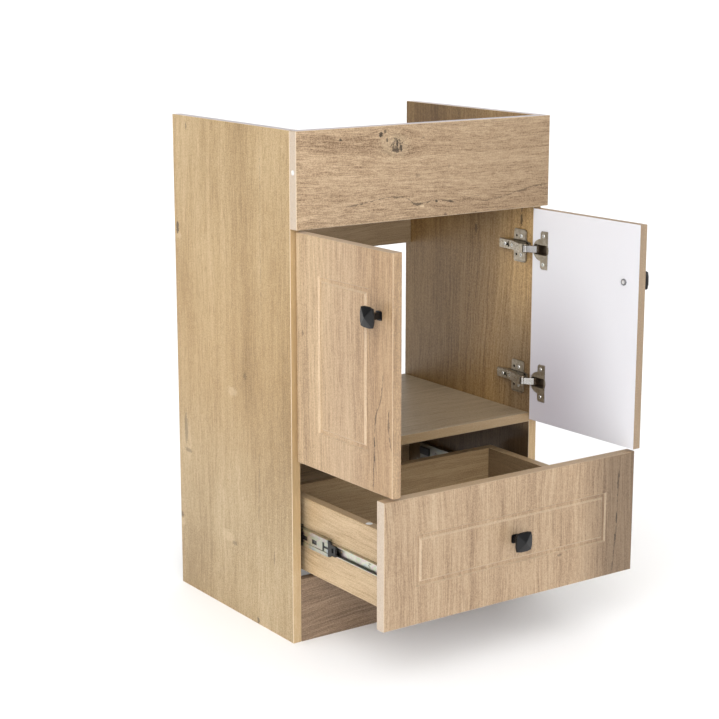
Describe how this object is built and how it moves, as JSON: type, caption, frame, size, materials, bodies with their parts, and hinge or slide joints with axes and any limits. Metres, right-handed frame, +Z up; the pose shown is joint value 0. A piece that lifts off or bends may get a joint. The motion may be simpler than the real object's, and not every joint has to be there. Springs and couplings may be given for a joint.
{
  "type": "vanity unit",
  "caption": "Oak-effect vanity base unit, open at the top for a basin, with hinged grooved doors over a cupboard and a drawer on ball-bearing runners below",
  "frame": {"origin": "on the floor, on the unit's centre line, in the middle of the plinth's thickness", "axes": "+X to the right as seen from the front, +Y from the doors to the wall, +Z up"},
  "size_m": [0.5484, 0.6345, 0.82],
  "materials": {
    "oak_side": "oak-effect melamine, yellowish, satin",
    "oak_front": "oak-effect foil on routed board, white on the inner face",
    "oak_inside": "oak-effect melamine, satin",
    "white_board": "white faced thin hardboard",
    "white_plastic": "white moulded",
    "nickel_plate": "nickel-plated pressed steel",
    "zinc_steel": "zinc-plated rolled steel",
    "screw_steel": "bright steel",
    "black_metal": "satin black",
    "black_plastic": "matt black moulded"
  },
  "bodies": {
    "carcass": {"left_side_panel": "oak_side", "right_side_panel": "oak_side", "fascia_panel": "oak_side", "shelf_panel": "oak_inside", "upper_back_rail": "oak_inside", "lower_back_rail": "oak_inside", "plinth_panel": "oak_inside", "left_fascia_screw_cap": "white_plastic", "right_fascia_screw_cap": "white_plastic", "left_upper_hinge_plate": "nickel_plate", "left_lower_hinge_plate": "nickel_plate", "right_upper_hinge_plate": "nickel_plate", "right_lower_hinge_plate": "nickel_plate", "left_upper_hinge_arm": "nickel_plate", "left_lower_hinge_arm": "nickel_plate", "right_upper_hinge_arm": "nickel_plate", "right_lower_hinge_arm": "nickel_plate", "left_upper_hinge_pin": "screw_steel", "left_lower_hinge_pin": "screw_steel", "right_upper_hinge_pin": "screw_steel", "right_lower_hinge_pin": "screw_steel", "left_runner_outer_rail": "zinc_steel", "right_runner_outer_rail": "zinc_steel", "left_runner_rear_stop": "black_plastic", "right_runner_rear_stop": "black_plastic"},
    "left_door": {"left_door_panel": "oak_front", "left_upper_hinge_cup": "nickel_plate", "left_lower_hinge_cup": "nickel_plate", "left_door_knob": "black_metal", "left_door_knob_screw": "screw_steel"},
    "right_door": {"right_door_panel": "oak_front", "right_upper_hinge_cup": "nickel_plate", "right_lower_hinge_cup": "nickel_plate", "right_door_knob": "black_metal", "right_door_knob_screw": "screw_steel"},
    "left_upper_link": {"left_upper_hinge_link": "nickel_plate"},
    "left_lower_link": {"left_lower_hinge_link": "nickel_plate"},
    "right_upper_link": {"right_upper_hinge_link": "nickel_plate"},
    "right_lower_link": {"right_lower_hinge_link": "nickel_plate"},
    "drawer": {"drawer_front": "oak_front", "drawer_left_side": "oak_inside", "drawer_right_side": "oak_inside", "drawer_back": "oak_inside", "drawer_bottom": "white_board", "drawer_left_cover_cap": "white_plastic", "drawer_right_cover_cap": "white_plastic", "drawer_knob": "black_metal", "drawer_knob_screw": "screw_steel", "left_runner_inner_rail": "zinc_steel", "right_runner_inner_rail": "zinc_steel"},
    "left_middle_rail": {"left_runner_middle_rail": "zinc_steel", "left_runner_bumper": "black_plastic"},
    "right_middle_rail": {"right_runner_middle_rail": "zinc_steel", "right_runner_bumper": "black_plastic"},
    "left_outer_cage": {"left_outer_ball_cage": "screw_steel"},
    "right_outer_cage": {"right_outer_ball_cage": "screw_steel"},
    "left_inner_cage": {"left_inner_ball_cage": "screw_steel"},
    "right_inner_cage": {"right_inner_ball_cage": "screw_steel"}
  },
  "joints": [
    {"name": "left_door_hinge", "type": "hinge", "parent": "carcass", "child": "left_door", "pos_m": [-0.23998, -0.0225, 0.4845], "axis": [0, 0, -1], "range_deg": [-89, 16]},
    {"name": "right_door_hinge", "type": "hinge", "parent": "carcass", "child": "right_door", "pos_m": [0.23998, -0.0225, 0.4845], "axis": [0, 0, 1], "range_deg": [-92.5, 12.5]},
    {"name": "left_upper_link_pivot", "type": "hinge", "parent": "carcass", "child": "left_upper_link", "pos_m": [-0.215, -0.0106, 0.598], "axis": [0, 0, -1], "range_deg": [-5.8, 32.1]},
    {"name": "left_lower_link_pivot", "type": "hinge", "parent": "carcass", "child": "left_lower_link", "pos_m": [-0.215, -0.0106, 0.371], "axis": [0, 0, -1], "range_deg": [-5.8, 32.1]},
    {"name": "right_upper_link_pivot", "type": "hinge", "parent": "carcass", "child": "right_upper_link", "pos_m": [0.215, -0.0106, 0.598], "axis": [0, 0, 1], "range_deg": [-4.6, 33.4]},
    {"name": "right_lower_link_pivot", "type": "hinge", "parent": "carcass", "child": "right_lower_link", "pos_m": [0.215, -0.0106, 0.371], "axis": [0, 0, 1], "range_deg": [-4.6, 33.4]},
    {"name": "drawer_slide", "type": "slide", "parent": "carcass", "child": "drawer", "axis": [0, -1, 0], "range_m": [-0.228, 0.072]},
    {"name": "left_middle_slide", "type": "slide", "parent": "carcass", "child": "left_middle_rail", "axis": [0, -1, 0], "range_m": [-0.1141, 0.0361]},
    {"name": "right_middle_slide", "type": "slide", "parent": "carcass", "child": "right_middle_rail", "axis": [0, -1, 0], "range_m": [-0.1141, 0.0361]},
    {"name": "left_outer_cage_slide", "type": "slide", "parent": "carcass", "child": "left_outer_cage", "axis": [0, -1, 0], "range_m": [-0.0571, 0.0181]},
    {"name": "right_outer_cage_slide", "type": "slide", "parent": "carcass", "child": "right_outer_cage", "axis": [0, -1, 0], "range_m": [-0.0571, 0.0181]},
    {"name": "left_inner_cage_slide", "type": "slide", "parent": "carcass", "child": "left_inner_cage", "axis": [0, -1, 0], "range_m": [-0.1711, 0.0541]},
    {"name": "right_inner_cage_slide", "type": "slide", "parent": "carcass", "child": "right_inner_cage", "axis": [0, -1, 0], "range_m": [-0.1711, 0.0541]}
  ],
  "couplings": [
    {"joint": "left_upper_link_pivot", "follows": "left_door_hinge", "ratio": -0.36},
    {"joint": "left_lower_link_pivot", "follows": "left_door_hinge", "ratio": -0.36},
    {"joint": "right_upper_link_pivot", "follows": "right_door_hinge", "ratio": -0.36},
    {"joint": "right_lower_link_pivot", "follows": "right_door_hinge", "ratio": -0.36},
    {"joint": "left_middle_slide", "follows": "drawer_slide", "ratio": 0.5},
    {"joint": "right_middle_slide", "follows": "drawer_slide", "ratio": 0.5},
    {"joint": "left_outer_cage_slide", "follows": "drawer_slide", "ratio": 0.25},
    {"joint": "right_outer_cage_slide", "follows": "drawer_slide", "ratio": 0.25},
    {"joint": "left_inner_cage_slide", "follows": "drawer_slide", "ratio": 0.75},
    {"joint": "right_inner_cage_slide", "follows": "drawer_slide", "ratio": 0.75}
  ]
}
